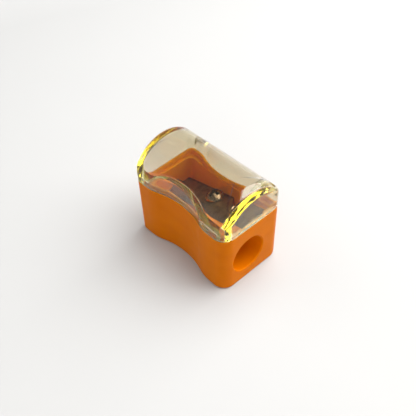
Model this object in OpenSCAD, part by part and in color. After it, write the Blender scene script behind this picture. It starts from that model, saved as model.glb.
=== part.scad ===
// Small desk pencil sharpener: one moulded body with a waisted grip and a built-in
// sharpening wedge, a steel blade held by one screw, and a clear pull-off lid that
// catches the shavings. X is the pencil axis (pencil enters from +X), Z is up,
// the origin is the centre of the underside.

/* [Body] */
// Length along the pencil axis
body_l = 26; // [20:0.1:40]
// Width over the full ends
body_w = 16.3; // [12:0.1:24]
// Height of the rim on which the lid sits
rim_z = 13.9; // [10:0.1:20]
// How far each long side curves in at the waist
waist_depth = 1.6; // [0:0.1:2.5]
// Radius of the hollow of the waist
waist_r = 17.4; // [10:0.1:40]
// Radius that leads from the hollow to the full width
shoulder_r = 9.5; // [4:0.1:20]
// Distance of the waist behind the middle
waist_back = 0.4; // [0:0.1:2]
// Radius of the upright corners at the pencil end
front_r = 2.7; // [1:0.1:4]
// Radius of the upright corners at the far end
back_r = 1.5; // [1:0.1:4]
// Depth of the recess in the underside
foot_depth = 0.8; // [0:0.1:1.2]
// Width of the rim round the recess in the underside
foot_rim = 2; // [1.5:0.1:3]

/* [Chamber] */
// Wall at the pencil end
front_wall = 1.9; // [1.2:0.1:3]
// Wall at the far end
back_wall = 2.6; // [1.2:0.1:3]
// Half width of the chamber at its ends
chamber_half_w = 5.5; // [4.5:0.05:6]
// Half width of the chamber at the waist
chamber_waist_half_w = 4.95; // [4:0.05:5.5]
// Upright corner radius of the chamber
chamber_r = 1.2; // [0.5:0.1:3]

/* [Pencil bore] */
// Diameter of the hole for the pencil
bore_d = 8.2; // [7:0.1:9]
// Height of the pencil axis
bore_z = 6.63; // [5.5:0.01:8]
// Sideways place of the pencil axis
bore_y = -1.33; // [-2:0.01:0]
// Length of the straight entry
entry_l = 12.4; // [2:0.1:14]
// Half of the sharpening angle
cone_angle = 12; // [10:0.1:14]
// Diameter at the point of the cone
tip_d = 2.8; // [0.8:0.1:3.2]

/* [Blade] */
// Length of the blade
blade_l = 21.2; // [18:0.1:24]
// Width of the blade
blade_w = 6.2; // [5:0.1:9]
// Thickness of the blade
blade_t = 0.9; // [0.5:0.05:1.2]
// Width of the ground bevel
bevel_w = 1.7; // [0.8:0.1:3]
// Thickness left at the cutting edge
edge_t = 0.06; // [0.02:0.01:0.2]
// How far the blade's underside lies below the top line of the cone
bite = 0.1; // [0:0.05:0.4]
// Turn of the blade in its own plane
blade_turn = 1.5; // [0:0.1:8]
// Blade centre along the pencil axis
blade_x = 0.5; // [-2:0.1:2]
// Blade centre across the body
blade_y = 1.7; // [0:0.05:2]
// Depth of the seat that keeps the blade from turning
seat_depth = 0.5; // [0:0.05:0.8]

/* [Screw] */
// Head diameter
head_d = 4; // [3:0.1:5]
// Head height
head_h = 1.35; // [0.8:0.05:2]
// Thread diameter
screw_d = 1.8; // [1.6:0.1:2.5]
// Length under the head
screw_l = 2.4; // [2:0.1:6]
// Distance of the screw from the blade's middle line
screw_offset = 1; // [0:0.05:2]

/* [Lid] */
// Radius of the domed roof
dome_r = 8.25; // [8.2:0.01:10]
// Overall height with the lid on
total_h = 22.35; // [18:0.05:26]
// Side and end wall of the lid
lid_wall = 1.25; // [0.8:0.05:2]
// Wall of the lid above the pencil hole
lid_front_wall = 1.5; // [0.8:0.05:2]
// Radius of the roof inside
dome_in_r = 8.4; // [6:0.05:10]
// Thickness of the roof at its top
roof_t = 1.5; // [0.8:0.05:2]
// Upright corner radius of the lid's room at the pencil end
room_front_r = 0.5; // [0.3:0.05:1.5]
// Upright corner radius of the lid's room at the far end
room_back_r = 1.35; // [0.3:0.05:2]
// Height of the tongue that the lid fits round
tongue_h = 0.9; // [0.5:0.05:2]
// Thickness of the tongue, where the chamber leaves room for it
tongue_t = 0.5; // [0.3:0.05:1]
// Side clearance between tongue and lid
lid_gap = 0.08; // [0.03:0.01:0.15]

/* [View] */
// Which sub-part to draw

/* [Hidden] */
$fn = 96;
over = 1;
tiny = 0.02;
sharp_r = 0.3;
ramp_slope = tan(cone_angle);
cone_x = body_l / 2 - entry_l;
cone_l = (bore_d - tip_d) / 2 / ramp_slope;
ramp_z = bore_z + bore_d / 2 - bite + (blade_x - cone_x) * ramp_slope;
waist_half_l = sqrt(2 * (waist_r + shoulder_r) * waist_depth - waist_depth * waist_depth);
meet_step = 0.03;
dome_z = total_h - dome_r;
dome_in_z = total_h - roof_t - dome_in_r;
chamber_x0 = -body_l / 2 + back_wall;
chamber_x1 = body_l / 2 - front_wall;
chamber_l = chamber_x1 - chamber_x0;
chamber_bulge = chamber_half_w - chamber_waist_half_w;
chamber_arc_r = (chamber_l * chamber_l / 4 + chamber_bulge * chamber_bulge) / (2 * chamber_bulge);
slot_z = bore_z - 0.4;
slot_x0 = -8.5;
slot_x1 = 1.5;
slot_under = 0.3;
seat_gap = 0.08;
pilot_gap = 0.05;
blade_hole_gap = 0.25;
head_gap = 0.03;
rest_gap = 0.05;
recess_w = 0.7;
recess_l = 2.5;
recess_depth = 0.8;
point_l = 0.6;
tongue_gap_w = 6.7;
tongue_gap_y = -0.35;

// ---- outlines -----------------------------------------------------------------

// rectangle x0..x1 by +-half_w with its own corner radius at each end
module end_rounded(x0, x1, half_w, r0, r1) {
  translate([x0, -half_w + r0]) square([x1 - r1 - x0, 2 * (half_w - r0)]);
  translate([x0 + r0, -half_w]) square([x1 - r1 - x0 - r0, 2 * half_w]);
  translate([x1 - r1 - over, -half_w + r1]) square([r1 + over, 2 * (half_w - r1)]);
  for (s = [-1, 1]) {
    translate([x0 + r0, s * (half_w - r0)]) circle(r0);
    translate([x1 - r1, s * (half_w - r1)]) circle(r1);
  }
}

// what the waist takes off one long side, for an outline set in by inset: a hollow arc,
// led into from both ends by bulging arcs that meet it and the side at a very flat angle
module waist_cut(inset) {
  half_w = body_w / 2 - inset;
  hollow_r = waist_r + inset;
  lead_r = shoulder_r - inset;
  lead_drop = lead_r * waist_depth / (waist_r + shoulder_r);
  difference() {
    translate([-waist_half_l, half_w - lead_drop]) square([2 * waist_half_l, lead_drop + over]);
    for (s = [-1, 1]) translate([s * waist_half_l, half_w - lead_r + meet_step])
      circle(lead_r, $fn = 180);
  }
  translate([0, half_w - waist_depth + hollow_r]) circle(hollow_r + meet_step / 2, $fn = 180);
}

// the waisted outline, set in by inset at the sides and by its own amount at each end
module outline(inset, front_in, back_in, r0, r1) {
  difference() {
    end_rounded(-body_l / 2 + back_in, body_l / 2 - front_in, body_w / 2 - inset, r0, r1);
    for (s = [0, 1]) translate([-waist_back, 0]) mirror([0, s]) waist_cut(inset);
  }
}

module outer_outline() {
  outline(0, 0, 0, back_r, front_r);
}

// outline set in evenly all round, with the corners kept parallel
module ring_outline(inset) {
  outline(inset, inset, inset, max(back_r - inset, sharp_r), max(front_r - inset, sharp_r));
}

// the room inside the lid, set in evenly by inset
module lid_room_outline(inset) {
  outline(lid_wall + inset, lid_front_wall + inset, lid_wall + inset,
    max(room_back_r - inset, sharp_r), max(room_front_r - inset, sharp_r));
}

// the chamber: almost a rectangle, its long sides bowed in a little at the waist
module chamber_outline() {
  difference() {
    end_rounded(chamber_x0, chamber_x1, chamber_half_w, chamber_r, chamber_r);
    for (s = [-1, 1]) translate([(chamber_x0 + chamber_x1) / 2,
        s * (chamber_waist_half_w + chamber_arc_r)]) circle(chamber_arc_r, $fn = 360);
  }
}

// ---- places -------------------------------------------------------------------

// the sloping plane on which the blade lies, turned with the blade
module on_ramp() {
  translate([blade_x, blade_y, ramp_z]) rotate([0, -cone_angle, 0])
    rotate([0, 0, -blade_turn]) children();
}

// the screw's axis, from the underside of its head
module at_screw(lift) {
  on_ramp() translate([0, screw_offset, lift]) children();
}

// ---- body ---------------------------------------------------------------------

module bore() {
  translate([cone_x, bore_y, bore_z]) rotate([0, 90, 0]) cylinder(h = entry_l + over, d = bore_d);
  translate([cone_x - cone_l, bore_y, bore_z]) rotate([0, 90, 0])
    cylinder(h = cone_l, d1 = tip_d, d2 = bore_d);
}

module chamber() {
  intersection() {
    linear_extrude(rim_z + over) chamber_outline();
    union() {
      on_ramp() translate([-body_l, -body_w, seat_depth]) cube([2 * body_l, 2 * body_w, rim_z]);
      on_ramp() translate([-blade_l / 2 - seat_gap, -body_w, 0])
        cube([blade_l + 2 * seat_gap, body_w + blade_w / 2 + seat_gap, rim_z]);
      shaving_slot();
    }
  }
}

// opens the cone along the cutting edge, so that shavings come up beside the blade
module shaving_slot() {
  translate([blade_x, blade_y, slot_z]) rotate([0, 0, -blade_turn])
    translate([slot_x0, slot_under - blade_w / 2 - body_w, 0])
      cube([slot_x1 - slot_x0, body_w, rim_z]);
}

module pilot_hole() {
  at_screw(-screw_l) cylinder(h = screw_l + over, d = screw_d + 2 * pilot_gap, $fn = 48);
}

// raised tongue round the rim, open above the pencil hole
module tongue() {
  difference() {
    translate([0, 0, rim_z - tiny]) linear_extrude(tongue_h + tiny) difference() {
      lid_room_outline(lid_gap);
      lid_room_outline(lid_gap + tongue_t);
    }
    translate([body_l / 4, tongue_gap_y - tongue_gap_w / 2, rim_z])
      cube([body_l / 2, tongue_gap_w, tongue_h + over]);
  }
}

module foot_recess() {
  translate([0, 0, -over]) linear_extrude(over + foot_depth) ring_outline(foot_rim);
}

module body() color([0.86, 0.45, 0.05]) {
  difference() {
    union() {
      linear_extrude(rim_z) outer_outline();
      tongue();
    }
    chamber();
    bore();
    pilot_hole();
    foot_recess();
  }
}

// ---- blade --------------------------------------------------------------------

module blade_section() {
  polygon([[-blade_w / 2, 0], [blade_w / 2, 0], [blade_w / 2, blade_t],
    [bevel_w - blade_w / 2, blade_t], [-blade_w / 2, edge_t]]);
}

module blade() color([0.45, 0.42, 0.40]) on_ramp() difference() {
  translate([-blade_l / 2, 0, 0]) rotate([90, 0, 90]) linear_extrude(blade_l) blade_section();
  translate([0, screw_offset, -over])
    cylinder(h = blade_t + 2 * over, d = screw_d + 2 * blade_hole_gap, $fn = 48);
}

// ---- screw --------------------------------------------------------------------

module screw_head() {
  cap_r = (head_d * head_d / 4 + head_h * head_h) / (2 * head_h);
  difference() {
    intersection() {
      cylinder(h = head_h, d = head_d);
      translate([0, 0, head_h - cap_r]) sphere(cap_r);
    }
    for (a = [0, 90]) rotate([0, 0, a]) translate([-recess_l / 2, -recess_w / 2, head_h - recess_depth])
      cube([recess_l, recess_w, head_h]);
  }
}

module screw() color([0.72, 0.68, 0.60]) at_screw(blade_t + head_gap) {
  screw_head();
  translate([0, 0, point_l - screw_l]) cylinder(h = screw_l - point_l + tiny, d = screw_d, $fn = 48);
  translate([0, 0, -screw_l]) cylinder(h = point_l, d1 = 0.4, d2 = screw_d, $fn = 48);
}

// ---- lid ----------------------------------------------------------------------

// half of the section of the domed roof, from its axis outwards
module dome_section() {
  translate([0, -body_l / 2]) square([dome_r - front_r, body_l]);
  translate([0, -body_l / 2 + back_r]) square([dome_r, body_l - back_r - front_r]);
  translate([0, -body_l / 2]) square([dome_r - back_r, body_l / 2]);
  translate([dome_r - front_r, body_l / 2 - front_r]) circle(front_r);
  translate([dome_r - back_r, -body_l / 2 + back_r]) circle(back_r);
}

module lid_outside() {
  intersection() {
    translate([0, 0, rim_z + rest_gap]) linear_extrude(total_h) outer_outline();
    union() {
      translate([0, 0, dome_z]) rotate([0, 90, 0]) rotate_extrude($fn = 144) dome_section();
      translate([-body_l, -body_w, 0]) cube([2 * body_l, 2 * body_w, dome_z]);
    }
  }
}

module lid_room() {
  intersection() {
    linear_extrude(total_h) lid_room_outline(0);
    union() {
      translate([-body_l, 0, dome_in_z]) rotate([0, 90, 0]) cylinder(h = 2 * body_l, r = dome_in_r);
      translate([-body_l, -body_w, 0]) cube([2 * body_l, 2 * body_w, dome_in_z]);
    }
  }
}

module lid() color([0.93, 0.90, 0.72, 0.5]) difference() {
  lid_outside();
  lid_room();
}

body();
blade();
screw();
lid();
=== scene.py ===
"""Looks for the small container pencil sharpener: an orange moulded body, a steel blade
with its screw, and a clear domed lid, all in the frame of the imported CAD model."""

import math

import bmesh
import bpy
import numpy as np
from mathutils import Matrix, Vector


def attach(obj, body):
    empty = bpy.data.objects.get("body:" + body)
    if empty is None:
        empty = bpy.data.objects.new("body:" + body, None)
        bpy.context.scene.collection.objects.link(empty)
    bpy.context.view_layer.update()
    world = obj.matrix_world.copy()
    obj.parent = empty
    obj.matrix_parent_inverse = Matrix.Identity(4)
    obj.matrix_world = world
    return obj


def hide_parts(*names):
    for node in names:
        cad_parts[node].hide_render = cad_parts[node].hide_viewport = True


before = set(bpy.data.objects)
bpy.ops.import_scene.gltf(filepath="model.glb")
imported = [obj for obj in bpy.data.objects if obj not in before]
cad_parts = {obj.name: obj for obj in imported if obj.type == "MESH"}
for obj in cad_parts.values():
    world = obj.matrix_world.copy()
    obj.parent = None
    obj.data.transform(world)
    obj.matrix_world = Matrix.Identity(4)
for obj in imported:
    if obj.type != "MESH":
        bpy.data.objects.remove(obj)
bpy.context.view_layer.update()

MM = 0.001

# ---- sizes of the object, in mm, as in the CAD source ----------------------------

BODY_L, BODY_W, RIM_Z = 26.0, 16.3, 13.9
WAIST_DEPTH, WAIST_R, SHOULDER_R, WAIST_BACK = 1.6, 17.4, 9.5, 0.4
FRONT_R, BACK_R = 2.7, 1.5
FOOT_DEPTH, FOOT_RIM = 0.8, 2.0
CHAMBER_X0, CHAMBER_X1 = -10.4, 11.1
CHAMBER_HALF_W, CHAMBER_WAIST_HALF_W, CHAMBER_R = 5.5, 4.95, 1.2
BORE_R, BORE_Y, BORE_Z, ENTRY_L = 4.1, -1.33, 6.63, 12.4
CONE_ANGLE, TIP_R = math.radians(12), 1.4
BLADE_L, BLADE_W, BLADE_T, BEVEL_W, EDGE_T = 21.2, 6.2, 0.9, 1.7, 0.06
BITE, BLADE_TURN, BLADE_X, BLADE_Y, SEAT_DEPTH = 0.1, math.radians(1.5), 0.5, 1.7, 0.5
HEAD_R, HEAD_H, SCREW_R, SCREW_L, SCREW_OFFSET, HEAD_GAP = 2.0, 1.35, 0.9, 2.4, 1.0, 0.03
SEAT_GAP, BLADE_HOLE_GAP, PILOT_GAP = 0.08, 0.25, 0.05
SLOT_X0, SLOT_X1, SLOT_UNDER, SLOT_DEPTH = -8.5, 1.5, 0.3, 0.4
TONGUE_GAP_Y, TONGUE_GAP_HALF_W = -0.35, 3.35
TOTAL_H, LID_WALL, LID_FRONT_WALL = 22.35, 1.25, 1.5
DOME_IN_R, ROOF_T, TONGUE_H, TONGUE_T, LID_GAP = 8.4, 1.5, 0.9, 0.5, 0.08
ROOM_FRONT_R, ROOM_BACK_R = 0.5, 1.35
REST_GAP, LID_EDGE_R = 0.05, 0.08
LID_Z = RIM_Z + REST_GAP
DOME_R = 8.16
DOME_Z = TOTAL_H - DOME_R
DOME_IN_Z = TOTAL_H - ROOF_T - DOME_IN_R

CONE_X = BODY_L / 2 - ENTRY_L
CONE_L = (BORE_R - TIP_R) / math.tan(CONE_ANGLE)
RAMP_Z = BORE_Z + BORE_R - BITE + (BLADE_X - CONE_X) * math.tan(CONE_ANGLE)
WAIST_HALF_L = math.sqrt(2 * (WAIST_R + SHOULDER_R) * WAIST_DEPTH - WAIST_DEPTH**2)
LEAD_ANGLE = math.atan(WAIST_HALF_L / (WAIST_R + SHOULDER_R - WAIST_DEPTH))

RAMP = (
    Matrix.Translation((BLADE_X, BLADE_Y, RAMP_Z))
    @ Matrix.Rotation(-CONE_ANGLE, 4, "Y")
    @ Matrix.Rotation(-BLADE_TURN, 4, "Z")
)

# ---- outlines ---------------------------------------------------------------------


def arc(cx, cy, r, a0, a1, n):
    """n points of an arc from angle a0 on, in degrees, without the one at a1."""
    a = np.radians(a0 + (a1 - a0) * np.arange(n) / n)
    return np.stack([cx + r * np.cos(a), cy + r * np.sin(a)], 1)


def line(x0, y0, x1, y1, n):
    """n points of a line from its first point on, without its last."""
    t = (np.arange(n) / n)[:, None]
    return np.array([x0, y0]) * (1 - t) + np.array([x1, y1]) * t


def closed(half, x_end):
    """The whole loop from its half at +Y, which runs from the front middle to the back."""
    half = np.vstack([half, [[x_end, 0.0]]])
    return np.vstack([half, (half[1:-1] * [1, -1])[::-1]])


def outline(inset=0.0, front=None, back=None, r_front=None, r_back=None):
    """The waisted outline of body and lid, set in by inset at the sides. Every call
    gives the same number of points in the same order."""
    front = inset if front is None else front
    back = inset if back is None else back
    rf = max(FRONT_R - inset, 0.3) if r_front is None else r_front
    rb = max(BACK_R - inset, 0.3) if r_back is None else r_back
    xf, xb, hw = BODY_L / 2 - front, -BODY_L / 2 + back, BODY_W / 2 - inset
    lead_y = BODY_W / 2 - SHOULDER_R
    lead_r = SHOULDER_R - inset
    hollow_y = BODY_W / 2 - WAIST_DEPTH + WAIST_R
    hollow_r = WAIST_R + inset
    la = math.degrees(LEAD_ANGLE)
    x1, x0 = WAIST_HALF_L - WAIST_BACK, -WAIST_HALF_L - WAIST_BACK
    half = np.vstack([
        line(xf, 0, xf, hw - rf, 14),
        arc(xf - rf, hw - rf, rf, 0, 90, 18),
        line(xf - rf, hw, x1, hw, 4),
        arc(x1, lead_y, lead_r, 90, 90 + la, 14),
        arc(-WAIST_BACK, hollow_y, hollow_r, -90 + la, -90 - la, 36),
        arc(x0, lead_y, lead_r, 90 - la, 90, 14),
        line(x0, hw, xb + rb, hw, 4),
        arc(xb + rb, hw - rb, rb, 90, 180, 14),
        line(xb, hw - rb, xb, 0, 12),
    ])
    return closed(half, xb)


def room_outline(grow=0.0):
    """The outline of the room inside the lid, and of the inner side of the tongue."""
    return outline(
        LID_WALL - grow, LID_FRONT_WALL - grow, LID_WALL - grow,
        max(ROOM_FRONT_R + grow, 0.2), max(ROOM_BACK_R + grow, 0.2),
    )


def chamber_outline(grow=0.0):
    """The chamber's outline: its long sides bow in a little at the waist."""
    x0, x1 = CHAMBER_X0 - grow, CHAMBER_X1 + grow
    hw, waist, r = CHAMBER_HALF_W + grow, CHAMBER_WAIST_HALF_W + grow, CHAMBER_R + grow
    half_l, middle = (CHAMBER_X1 - CHAMBER_X0) / 2, (CHAMBER_X0 + CHAMBER_X1) / 2
    x = np.linspace(half_l - CHAMBER_R, -half_l + CHAMBER_R, 31)[:-1]
    side = np.stack([middle + x, waist + (hw - waist) * (x / (half_l - CHAMBER_R)) ** 2], 1)
    half = np.vstack([
        line(x1, 0, x1, hw - r, 6),
        arc(x1 - r, hw - r, r, 0, 90, 10),
        side,
        arc(x0 + r, hw - r, r, 90, 180, 10),
        line(x0, hw - r, x0, 0, 6),
    ])
    return closed(half, x0)


def at(outline_xy, z):
    """An outline as 3-D points at a height, or at a height for each point."""
    return np.column_stack([outline_xy, np.broadcast_to(z, len(outline_xy))])


# ---- meshes -----------------------------------------------------------------------


def new_object(name, bm):
    mesh = bpy.data.meshes.new(name)
    bm.to_mesh(mesh)
    bm.free()
    obj = bpy.data.objects.new(name, mesh)
    bpy.context.scene.collection.objects.link(obj)
    return obj


def loft(name, rings, start_cap=False, end_cap=False, matrix=None):
    """A skin through rings of equally many points, given in mm. Points that coincide
    are merged, so that a ring may shrink to a line or a point."""
    bm = bmesh.new()
    rows = [[bm.verts.new(Vector(p) * MM) for p in ring] for ring in rings]
    n = len(rows[0])
    for a, b in zip(rows, rows[1:]):
        for i in range(n):
            j = (i + 1) % n
            bm.faces.new((a[i], a[j], b[j], b[i]))
    if start_cap:
        bm.faces.new(rows[0][::-1])
    if end_cap:
        bm.faces.new(rows[-1])
    bmesh.ops.remove_doubles(bm, verts=bm.verts, dist=2e-6)
    bmesh.ops.dissolve_degenerate(bm, dist=1e-7, edges=bm.edges)
    bmesh.ops.recalc_face_normals(bm, faces=bm.faces)
    obj = new_object(name, bm)
    if matrix is not None:
        move = matrix.copy()
        move.translation = matrix.translation * MM
        obj.data.transform(move)
    return obj


def block(name, low, high, matrix=None):
    """A cutter with flat sides, from its two corners in mm."""
    (x0, y0, z0), (x1, y1, z1) = low, high
    ring = [(x0, y0), (x1, y0), (x1, y1), (x0, y1)]
    rings = [[(x, y, z) for x, y in ring] for z in (z0, z1)]
    return loft(name, rings, True, True, matrix)


def turned(name, profile, n, matrix):
    """A solid turned from a profile of (radius, height) pairs in mm, closed at the ends."""
    a = 2 * math.pi * np.arange(n) / n
    rings = [
        np.stack([r * np.cos(a), r * np.sin(a), np.full(n, z)], 1) for r, z in profile
    ]
    return loft(name, rings, True, True, matrix)


def combine(obj, tool, operation):
    """Applies an exact boolean of obj with tool, and removes the tool."""
    mod = obj.modifiers.new("combine", "BOOLEAN")
    mod.operation = operation
    mod.solver = "EXACT"
    mod.object = tool
    depsgraph = bpy.context.evaluated_depsgraph_get()
    made = bpy.data.meshes.new_from_object(obj.evaluated_get(depsgraph))
    obj.modifiers.clear()
    obj.data = made
    bpy.data.objects.remove(tool)
    return obj


def quarter(r, n, a0=0.0, a1=90.0):
    """(cos, sin) times r at n + 1 angles from a0 to a1, in degrees."""
    a = np.radians(np.linspace(a0, a1, n + 1))
    return np.stack([r * np.cos(a), r * np.sin(a)], 1)


def finish_piece(obj, material, body, sharp=35.0):
    """Smooth shading that keeps flat faces flat, the material, and the body it rides on."""
    mesh = obj.data
    mesh.shade_smooth()
    mesh.set_sharp_from_angle(angle=math.radians(sharp))
    weighted = obj.modifiers.new("weighted", "WEIGHTED_NORMAL")
    weighted.mode = "FACE_AREA"
    weighted.keep_sharp = True
    mesh.materials.clear()
    mesh.materials.append(material)
    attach(obj, body)
    return obj


# ---- materials --------------------------------------------------------------------


def new_material(name):
    mat = bpy.data.materials.new(name)
    mat.use_nodes = True
    tree = mat.node_tree
    return mat, tree, tree.nodes["Principled BSDF"]


def node(tree, kind, **values):
    """A new node with its properties and input values set by name."""
    made = tree.nodes.new(kind)
    for key, value in values.items():
        if hasattr(made, key) and key not in made.inputs:
            setattr(made, key, value)
        else:
            made.inputs[key].default_value = value
    return made


def noise(tree, coords, scale, detail=3.0, roughness=0.5, stretch=(1, 1, 1)):
    mapping = node(tree, "ShaderNodeMapping", Scale=stretch)
    tree.links.new(coords, mapping.inputs["Vector"])
    made = node(tree, "ShaderNodeTexNoise", Scale=scale, Detail=detail, Roughness=roughness)
    tree.links.new(mapping.outputs["Vector"], made.inputs["Vector"])
    return made.outputs["Fac"]


def remap(tree, fac, low, high, from_low=0.3, from_high=0.7):
    made = node(
        tree,
        "ShaderNodeMapRange",
        **{"From Min": from_low, "From Max": from_high, "To Min": low, "To Max": high},
    )
    tree.links.new(fac, made.inputs["Value"])
    return made.outputs["Result"]


def blend_colours(tree, fac, colour_a, colour_b):
    made = tree.nodes.new("ShaderNodeMix")
    made.data_type = "RGBA"
    for socket, value in (("A_Color", colour_a), ("B_Color", colour_b)):
        where = next(s for s in made.inputs if s.identifier == socket)
        if isinstance(value, tuple):
            where.default_value = (*value, 1.0)
        else:
            tree.links.new(value, where)
    tree.links.new(fac, next(s for s in made.inputs if s.identifier == "Factor_Float"))
    return next(s for s in made.outputs if s.identifier == "Result_Color")


def bump(tree, shader, height, strength, distance):
    made = node(tree, "ShaderNodeBump", Strength=strength, Distance=distance)
    tree.links.new(height, made.inputs["Height"])
    tree.links.new(made.outputs["Normal"], shader.inputs["Normal"])


def orange_plastic():
    """Moulded, slightly see-through orange plastic with faint flow marks and grain. Its colour
    is painted lighter on the rim, in the chamber and in the bore: painted light for the
    light lost under the lid, and a painted glow of plastic lit from all round."""
    mat, tree, shader = new_material("orange_plastic")
    coords = node(tree, "ShaderNodeTexCoord").outputs["Object"]
    flow = noise(tree, coords, 160, 4.0, 0.55, (0.6, 1, 1.8))
    skin = blend_colours(
        tree, remap(tree, flow, 0, 1), (0.52, 0.126, 0.0005), (0.57, 0.144, 0.001)
    )
    apart = tree.nodes.new("ShaderNodeSeparateXYZ")
    tree.links.new(coords, apart.inputs["Vector"])
    # mask of the chamber below the blade's ramp, which gets a painted lighter orange for the light
    # lost under the lid
    on_ramp = node(tree, "ShaderNodeVectorMath", operation="DOT_PRODUCT")
    tree.links.new(coords, on_ramp.inputs[0])
    slope = math.tan(CONE_ANGLE)
    on_ramp.inputs[1].default_value = (-slope, 0, 1)
    ramp_level = (RAMP_Z - BLADE_X * slope) * MM
    inner = remap(
        tree, on_ramp.outputs["Value"], 0, 1, ramp_level - 0.6 * MM, ramp_level - 0.2 * MM
    )
    for axis, low, high in (("X", 10.6 * MM, 11.2 * MM), ("Y", 5.4 * MM, 6.2 * MM)):
        size = node(tree, "ShaderNodeMath", operation="ABSOLUTE")
        tree.links.new(apart.outputs[axis], size.inputs[0])
        part = remap(tree, size.outputs[0], 1, 0, low, high)
        both = node(tree, "ShaderNodeMath", operation="MULTIPLY")
        tree.links.new(inner, both.inputs[0])
        tree.links.new(part, both.inputs[1])
        inner = both.outputs[0]
    # painted light: the chamber and the rim are painted the lighter orange below, for the light
    # lost under the lid
    painted_light_under_lid = node(tree, "ShaderNodeMath", operation="MAXIMUM")
    tree.links.new(inner, painted_light_under_lid.inputs[0])
    rim = remap(tree, apart.outputs["Z"], 0, 1, (RIM_Z - 0.15) * MM, (RIM_Z + 0.05) * MM)
    tree.links.new(rim, painted_light_under_lid.inputs[1])
    colour = blend_colours(tree, painted_light_under_lid.outputs[0], skin, (0.90, 0.335, 0.001))
    # painted glow: the bore is painted a lighter orange, for the glow of plastic lit from all
    # round
    off_axis = node(tree, "ShaderNodeVectorMath", operation="SUBTRACT")
    tree.links.new(coords, off_axis.inputs[0])
    off_axis.inputs[1].default_value = (0, BORE_Y * MM, BORE_Z * MM)
    across = node(tree, "ShaderNodeVectorMath", operation="MULTIPLY")
    tree.links.new(off_axis.outputs[0], across.inputs[0])
    across.inputs[1].default_value = (0, 1, 1)
    from_axis = node(tree, "ShaderNodeVectorMath", operation="LENGTH")
    tree.links.new(across.outputs[0], from_axis.inputs[0])
    near_axis = remap(
        tree, from_axis.outputs["Value"], 1, 0, (BORE_R + 0.02) * MM, (BORE_R + 0.1) * MM
    )
    painted_glow_in_bore = node(tree, "ShaderNodeMath", operation="MULTIPLY")
    tree.links.new(near_axis, painted_glow_in_bore.inputs[0])
    before_back_wall = remap(tree, apart.outputs["X"], 0, 1, -9 * MM, -8 * MM)
    tree.links.new(before_back_wall, painted_glow_in_bore.inputs[1])
    colour = blend_colours(tree, painted_glow_in_bore.outputs[0], colour, (0.66, 0.168, 0.0005))
    tree.links.new(colour, shader.inputs["Base Color"])
    cloud = noise(tree, coords, 700, 3.0)
    tree.links.new(remap(tree, cloud, 0.30, 0.40), shader.inputs["Roughness"])
    bump(tree, shader, noise(tree, coords, 5200, 2.0), 0.12, 0.00002)
    shader.inputs["IOR"].default_value = 1.49
    shader.inputs["Specular IOR Level"].default_value = 0.04
    shader.inputs["Subsurface Weight"].default_value = 0.35
    shader.inputs["Subsurface Radius"].default_value = (1.0, 0.75, 0.10)
    shader.inputs["Subsurface Scale"].default_value = 0.002
    return mat


def blade_steel():
    """Dark, lightly oiled steel with grinding marks across and a few stains."""
    mat, tree, shader = new_material("blade_steel")
    coords = node(tree, "ShaderNodeTexCoord").outputs["Object"]
    marks = noise(tree, coords, 900, 4.0, 0.6, (6, 0.35, 1))
    stains = noise(tree, coords, 320, 5.0, 0.6)
    ground = blend_colours(
        tree, remap(tree, marks, 0, 1), (0.22, 0.14, 0.07), (0.33, 0.22, 0.12)
    )
    stained = remap(tree, stains, 0, 1, 0.48, 0.7)
    colour = blend_colours(tree, stained, ground, (0.095, 0.055, 0.033))
    tree.links.new(colour, shader.inputs["Base Color"])
    tree.links.new(remap(tree, marks, 0.30, 0.46), shader.inputs["Roughness"])
    bump(tree, shader, marks, 0.25, 0.00003)
    shader.inputs["Metallic"].default_value = 1.0
    return mat


def nickel():
    """Nickel plating on the screw, finely scratched and tarnished to a warm tone."""
    mat, tree, shader = new_material("nickel")
    coords = node(tree, "ShaderNodeTexCoord").outputs["Object"]
    tarnish = noise(tree, coords, 900, 4.0, 0.6)
    colour = blend_colours(
        tree, remap(tree, tarnish, 0, 1), (0.40, 0.32, 0.23), (0.22, 0.165, 0.11)
    )
    tree.links.new(colour, shader.inputs["Base Color"])
    tree.links.new(remap(tree, tarnish, 0.20, 0.34), shader.inputs["Roughness"])
    bump(tree, shader, noise(tree, coords, 3500, 2.0), 0.15, 0.00002)
    shader.inputs["Metallic"].default_value = 1.0
    return mat


def clear_plastic():
    """Clear styrene with a faint yellow tint that deepens along its thick edges."""
    mat, tree, shader = new_material("clear_plastic")
    coords = node(tree, "ShaderNodeTexCoord").outputs["Object"]
    haze = noise(tree, coords, 500, 4.0, 0.6)
    tree.links.new(remap(tree, haze, 0.008, 0.025), shader.inputs["Roughness"])
    tint = blend_colours(tree, haze, (0.895, 0.85, 0.91), (0.875, 0.83, 0.89))
    tree.links.new(tint, shader.inputs["Base Color"])
    bump(tree, shader, noise(tree, coords, 180, 1.0), 0.05, 0.00004)
    shader.inputs["IOR"].default_value = 1.55
    shader.inputs["Transmission Weight"].default_value = 1.0
    inside = node(tree, "ShaderNodeVolumeAbsorption", Color=(0.87, 0.82, 0.01, 1.0), Density=200.0)
    tree.links.new(
        inside.outputs["Volume"], tree.nodes["Material Output"].inputs["Volume"]
    )
    return mat


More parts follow.
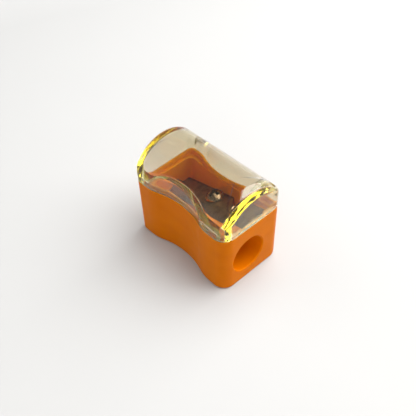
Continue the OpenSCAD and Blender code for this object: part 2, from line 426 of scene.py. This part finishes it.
def pale_floor():
    """Matt pale paper. Far from the object, where less light falls, it is lighter and
    glows faintly, so that low views meet no dark horizon."""
    mat, tree, shader = new_material("pale_floor")
    coords = node(tree, "ShaderNodeTexCoord").outputs["Object"]
    near = blend_colours(
        tree, noise(tree, coords, 40, 3.0), (0.53, 0.533, 0.533), (0.54, 0.543, 0.543)
    )
    distance = node(tree, "ShaderNodeVectorMath", operation="LENGTH")
    tree.links.new(coords, distance.inputs[0])
    far = remap(tree, distance.outputs["Value"], 0, 1, 0.12, 0.6)
    colour = blend_colours(tree, far, near, (0.95, 0.95, 0.95))
    tree.links.new(colour, shader.inputs["Base Color"])
    glow = remap(tree, distance.outputs["Value"], 0, 0.62, 0.12, 0.45)
    tree.links.new(glow, shader.inputs["Emission Strength"])
    shader.inputs["Emission Color"].default_value = (0.90, 0.89, 0.875, 1)
    shader.inputs["Roughness"].default_value = 0.9
    shader.inputs["Specular IOR Level"].default_value = 0.2
    return mat


# ---- body -------------------------------------------------------------------------


def body_shell():
    """The body's outer skin up over the tongue, closed flat at the rim's height."""
    foot_r, foot_in_r, rim_r, tip_r = 0.5, 0.15, 0.2, 0.12
    rings = [at(outline(FOOT_RIM), FOOT_DEPTH), at(outline(FOOT_RIM), foot_in_r)]
    for c, s in quarter(foot_in_r, 3)[1:]:
        rings.append(at(outline(FOOT_RIM - foot_in_r + c), foot_in_r - s))
    for c, s in quarter(foot_r, 6)[::-1]:
        rings.append(at(outline(foot_r - c), foot_r - s))
    for c, s in quarter(rim_r, 4):
        rings.append(at(outline(rim_r - c), RIM_Z - rim_r + s))
    tongue_in, tongue_z = LID_GAP + TONGUE_T, RIM_Z + TONGUE_H
    rings.append(at(room_outline(-LID_GAP), RIM_Z))
    for c, s in quarter(tip_r, 3):
        rings.append(at(room_outline(c - tip_r - LID_GAP), tongue_z - tip_r + s))
    for c, s in quarter(tip_r, 3)[::-1]:
        rings.append(at(room_outline(tip_r - c - tongue_in), tongue_z - tip_r + s))
    rings.append(at(room_outline(-tongue_in), RIM_Z))
    return loft("sharpener_body", rings, True, True)


def chamber_tool():
    """What the chamber, the blade's seat and the shavings' slot take out of the body."""
    edge_r, below = 0.12, 4.0
    rings = [at(chamber_outline(), below), at(chamber_outline(), RIM_Z - edge_r)]
    for c, s in quarter(edge_r, 5)[1:]:
        rings.append(at(chamber_outline(edge_r - c), RIM_Z - edge_r + s))
    rings.append(at(chamber_outline(edge_r), RIM_Z + 2))
    tool = loft("chamber_tool", rings, True, True)
    over = 30
    seat_half_l, seat_y = BLADE_L / 2 + SEAT_GAP, BLADE_W / 2 + SEAT_GAP
    above = block("above", (-over, -over, SEAT_DEPTH), (over, over, over), RAMP)
    seat = block("seat", (-seat_half_l, -over, 0), (seat_half_l, seat_y, over), RAMP)
    slot_at = (
        Matrix.Translation((BLADE_X, BLADE_Y, BORE_Z - SLOT_DEPTH))
        @ Matrix.Rotation(-BLADE_TURN, 4, "Z")
    )
    slot_y = SLOT_UNDER - BLADE_W / 2
    slot = block("slot", (SLOT_X0, -over, 0), (SLOT_X1, slot_y, over), slot_at)
    combine(above, seat, "UNION")
    combine(above, slot, "UNION")
    return combine(tool, above, "INTERSECT")


def bore_tool():
    """The pencil hole: a softly rounded mouth, the straight entry and the cone."""
    mouth_r = 0.3
    mouth_x = BODY_L / 2
    profile = [(TIP_R, CONE_X - CONE_L), (BORE_R, CONE_X), (BORE_R, mouth_x - mouth_r)]
    for c, s in quarter(mouth_r, 5)[1:]:
        profile.append((BORE_R + mouth_r - c, mouth_x - mouth_r + s))
    profile.append((BORE_R + mouth_r, mouth_x + 2))
    along_x = Matrix.Translation((0, BORE_Y, BORE_Z)) @ Matrix.Rotation(math.pi / 2, 4, "Y")
    return turned("bore_tool", profile, 96, along_x)


def make_body():
    body = body_shell()
    gap = block(
        "gap",
        (BODY_L / 4, TONGUE_GAP_Y - TONGUE_GAP_HALF_W, RIM_Z),
        (BODY_L, TONGUE_GAP_Y + TONGUE_GAP_HALF_W, RIM_Z + 3),
    )
    combine(body, gap, "DIFFERENCE")
    combine(body, chamber_tool(), "DIFFERENCE")
    combine(body, bore_tool(), "DIFFERENCE")
    screw_at = RAMP @ Matrix.Translation((0, SCREW_OFFSET, -SCREW_L))
    pilot_r = SCREW_R + PILOT_GAP
    pilot = turned("pilot", [(pilot_r, 0), (pilot_r, SCREW_L + 1)], 32, screw_at)
    combine(body, pilot, "DIFFERENCE")
    finish_piece(body, orange_plastic(), "body")
    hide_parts("body")
    return body


# ---- blade and screw --------------------------------------------------------------


def make_blade():
    """The blade, its edges broken a little, with the ground bevel along its cutting edge."""
    hw, hl, e, mid_z = BLADE_W / 2, BLADE_L / 2, 0.07, BLADE_T / 2
    section = [
        (-hw, 0), (hw - e, 0), (hw, e), (hw, BLADE_T - e), (hw - e, BLADE_T),
        (BEVEL_W - hw, BLADE_T), (-hw, EDGE_T),
    ]

    def ring(x, shrink):
        keep = 1 - shrink / mid_z
        return [
            (x, y - math.copysign(min(shrink, abs(y)), y), mid_z + (z - mid_z) * keep)
            for y, z in section
        ]

    rings = [ring(-hl, e), ring(-hl + e, 0), ring(hl - e, 0), ring(hl, e)]
    blade = loft("sharpener_blade", rings, True, True, RAMP)
    hole_at = RAMP @ Matrix.Translation((0, SCREW_OFFSET, -1))
    hole_r = SCREW_R + BLADE_HOLE_GAP
    combine(blade, turned("hole", [(hole_r, 0), (hole_r, 3)], 48, hole_at), "DIFFERENCE")
    finish_piece(blade, blade_steel(), "body", 25.0)
    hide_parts("blade")
    return blade


def make_screw():
    """The screw: a domed head with a tapered cross recess, and its shank below."""
    place = RAMP @ Matrix.Translation((0, SCREW_OFFSET, BLADE_T + HEAD_GAP))
    cap_r = (HEAD_R**2 + HEAD_H**2) / (2 * HEAD_H)
    skirt, point_l, point_r = 0.30, 0.6, 0.2
    start = math.degrees(math.asin((skirt + cap_r - HEAD_H) / cap_r))
    profile = [
        (point_r, -SCREW_L), (SCREW_R, -SCREW_L + point_l), (SCREW_R, -0.02),
        (SCREW_R + 0.02, 0),
        (HEAD_R - 0.25, 0), (HEAD_R - 0.16, 0.03), (HEAD_R - 0.08, 0.12),
    ]
    for c, s in quarter(cap_r, 14, start, 89.0):
        profile.append((c, HEAD_H - cap_r + s))
    screw = turned("blade_screw", profile, 72, place)
    recess = ((-1.25, 0.16, 0.45), (-0.9, 0.27, 1.1), (0.3, 0.36, 1.5))
    for turn in (0, math.pi / 2):
        rings = []
        for rise, half_w, half_l in recess:
            corners = ((-half_l, -half_w), (half_l, -half_w), (half_l, half_w), (-half_l, half_w))
            rings.append([(x, y, HEAD_H + rise) for x, y in corners])
        recess_at = place @ Matrix.Rotation(turn, 4, "Z")
        combine(screw, loft("recess", rings, True, True, recess_at), "DIFFERENCE")
    finish_piece(screw, nickel(), "screw")
    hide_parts("screw")
    return screw


# ---- lid --------------------------------------------------------------------------

SIDE_ROUND, FRONT_ROUND, BACK_ROUND = 2.4, 2.3, 1.15
SPINE = (-9.5, 8.0)


def roof(y):
    return DOME_Z + np.sqrt(np.maximum(DOME_R**2 - np.square(y), 0.0))


def roof_in(y):
    return DOME_IN_Z + np.sqrt(np.maximum(DOME_IN_R**2 - np.square(y), 0.0))


def inward(outer):
    """The unit vectors that point into the outline, from a slightly smaller one."""
    d = outline(0.02) - outer
    return d / np.linalg.norm(d, axis=1)[:, None]


def rounded_top(point, n, r, steps):
    """The rounding between the upright wall at an outline point and the roof, seen in
    the upright plane through n: points (distance from the wall, height)."""
    t = np.linspace(0, 1, 400) ** 2
    s = t * 2.2 * r
    z = roof(point[1] + s * n[1])
    low, high = LID_Z - 4.0, float(np.interp(r, s, z))
    for _ in range(40):
        middle = (low + high) / 2
        if np.hypot(s - r, z - middle).min() > r:
            low = middle
        else:
            high = middle
    zc = (low + high) / 2
    k = int(np.hypot(s - r, z - zc).argmin())
    end = math.atan2(z[k] - zc, s[k] - r)
    a = np.linspace(math.pi, end, steps + 1)
    return np.stack([r + r * np.cos(a), zc + r * np.sin(a)], 1)


def roof_rows(edge, height, rows):
    """Rings from an edge loop over the roof to its ridge, evenly spread round the arc."""
    x_end = np.clip(edge[:, 0], *SPINE)
    angle = np.arcsin(np.clip(np.abs(edge[:, 1]) / DOME_R, 0, 1))
    made = []
    for k in range(1, rows + 1):
        t = k / rows
        share = np.where(
            angle > 1e-3, np.sin(angle * (1 - t)) / np.sin(np.maximum(angle, 1e-3)), 1 - t
        )
        x = x_end + (edge[:, 0] - x_end) * share
        y = edge[:, 1] * share
        made.append(np.column_stack([x, y, height(y)]))
    return made


def lid_outer_rings(edge_r, roof_count):
    """Rings from the lower outer edge up the wall, round the shoulder and to the ridge."""
    outer = outline()
    n = inward(outer)
    facing = -n[:, 0]
    end_round = np.where(facing > 0, FRONT_ROUND, BACK_ROUND)
    r = SIDE_ROUND + (end_round - SIDE_ROUND) * facing**2
    steps = 28
    profiles = np.array([rounded_top(outer[i], n[i], r[i], steps) for i in range(len(outer))])
    rings = []
    for c, s in quarter(edge_r, 3)[::-1]:
        rings.append(at(outline(edge_r - c), LID_Z + edge_r - s))
    low = LID_Z + edge_r
    for t in (0.35, 0.7):
        rings.append(at(outer, low + (profiles[:, 0, 1] - low) * t))
    for k in range(steps + 1):
        xy = outer + n * profiles[:, k, 0:1]
        rings.append(np.column_stack([xy, profiles[:, k, 1]]))
    rings += roof_rows(rings[-1][:, :2], roof, roof_count)
    return rings


def lid_inner_rings(edge_r, roof_count):
    """Rings from the lower inner edge up the inner wall to the inner ridge."""
    rings = []
    for c, s in quarter(edge_r, 3)[::-1]:
        rings.append(at(room_outline(edge_r - c), LID_Z + edge_r - s))
    edge = room_outline()
    bend = 0.22
    top = roof_in(edge[:, 1])
    rings.append(at(edge, top - bend))
    for a in (15, 30, 45, 60, 75):
        s = bend * (1 - math.cos(math.radians(a)))
        ring = room_outline(-s)
        drop = bend * (1 - math.sin(math.radians(a)))
        rings.append(at(ring, roof_in(ring[:, 1]) - drop))
    ring = room_outline(-bend)
    rings.append(at(ring, roof_in(ring[:, 1])))
    rings += roof_rows(ring, roof_in, roof_count)
    return rings


def make_lid():
    outer = lid_outer_rings(LID_EDGE_R, 30)
    inner = lid_inner_rings(LID_EDGE_R, 30)
    lid = loft("clear_lid", outer[::-1] + inner)
    finish_piece(lid, clear_plastic(), "lid", 40.0)
    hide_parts("lid")
    return lid


# ---- camera, floor and light --------------------------------------------------------


CAMERA_ANGLES = (47.965, 45.089, -1.719)
CAMERA_AT, CAMERA_LENS = (59.829, -53.893, 89.828), 47.764
FLOOR_HALF = 1.5


def make_camera():
    """The camera, from its azimuth, elevation and roll in degrees and its place in mm."""
    azimuth, elevation, roll = (math.radians(a) for a in CAMERA_ANGLES)
    back = Vector((
        math.sin(azimuth) * math.cos(elevation),
        -math.cos(azimuth) * math.cos(elevation),
        math.sin(elevation),
    ))
    level = Vector((math.cos(azimuth), math.sin(azimuth), 0))
    up = back.cross(level)
    right = level * math.cos(roll) + up * math.sin(roll)
    up = up * math.cos(roll) - level * math.sin(roll)
    data = bpy.data.cameras.new("camera")
    data.sensor_width = 36.0
    data.lens = CAMERA_LENS
    data.clip_start, data.clip_end = 0.005, 20.0
    camera = bpy.data.objects.new("camera", data)
    bpy.context.scene.collection.objects.link(camera)
    place = Matrix((right, up, back)).transposed().to_4x4()
    place.translation = Vector(CAMERA_AT) * MM
    camera.matrix_world = place
    bpy.context.scene.camera = camera


def make_floor():
    bm = bmesh.new()
    bmesh.ops.create_grid(bm, x_segments=8, y_segments=8, size=FLOOR_HALF)
    floor = new_object("floor", bm)
    floor.data.materials.append(pale_floor())


def softbox(name, where, size, power, colour=(1, 1, 1)):
    """A square area light at a place in mm that faces the object."""
    data = bpy.data.lights.new(name, "AREA")
    data.shape = "SQUARE"
    data.size = size * MM
    data.energy = power
    data.color = colour
    light = bpy.data.objects.new(name, data)
    bpy.context.scene.collection.objects.link(light)
    light.location = Vector(where) * MM
    toward = Vector((0, 0, 10)) * MM - light.location
    light.rotation_mode = "QUATERNION"
    light.rotation_quaternion = toward.to_track_quat("-Z", "Y")
    return light


def make_light():
    """A sky that is bright at the horizon, a large key light behind the object, and two
    fills that lighten its shadowed sides without showing in the lid."""
    world = bpy.data.worlds.new("studio")
    bpy.context.scene.world = world
    world.use_nodes = True
    tree = world.node_tree
    height = node(tree, "ShaderNodeSeparateXYZ")
    coords = node(tree, "ShaderNodeTexCoord").outputs["Generated"]
    tree.links.new(coords, height.inputs["Vector"])
    upward = remap(tree, height.outputs["Z"], 0, 1, 0.02, 0.4)
    sky = blend_colours(tree, upward, (0.90, 0.89, 0.875), (0.27, 0.27, 0.265))
    tree.links.new(sky, tree.nodes["Background"].inputs["Color"])
    softbox("key", (70, 175, 294), 420, 2.85, (1.0, 0.985, 0.965))
    for name, where, size, power in (
        ("front_fill", (210, -250, 120), 200, 0.25),
        ("side_fill", (-260, -170, 200), 300, 0.32),
    ):
        fill = softbox(name, where, size, power)
        fill.visible_glossy = False
        fill.visible_transmission = False


make_camera()
make_floor()
make_light()
make_body()
make_blade()
make_screw()
make_lid()

# the light in the lid's thick edges is reflected inside them many times
bpy.context.scene.view_settings.view_transform = "Standard"
bpy.context.scene.cycles.max_bounces = 32
bpy.context.scene.cycles.glossy_bounces = 24
bpy.context.scene.cycles.diffuse_bounces = 10
bpy.context.scene.cycles.transmission_bounces = 32
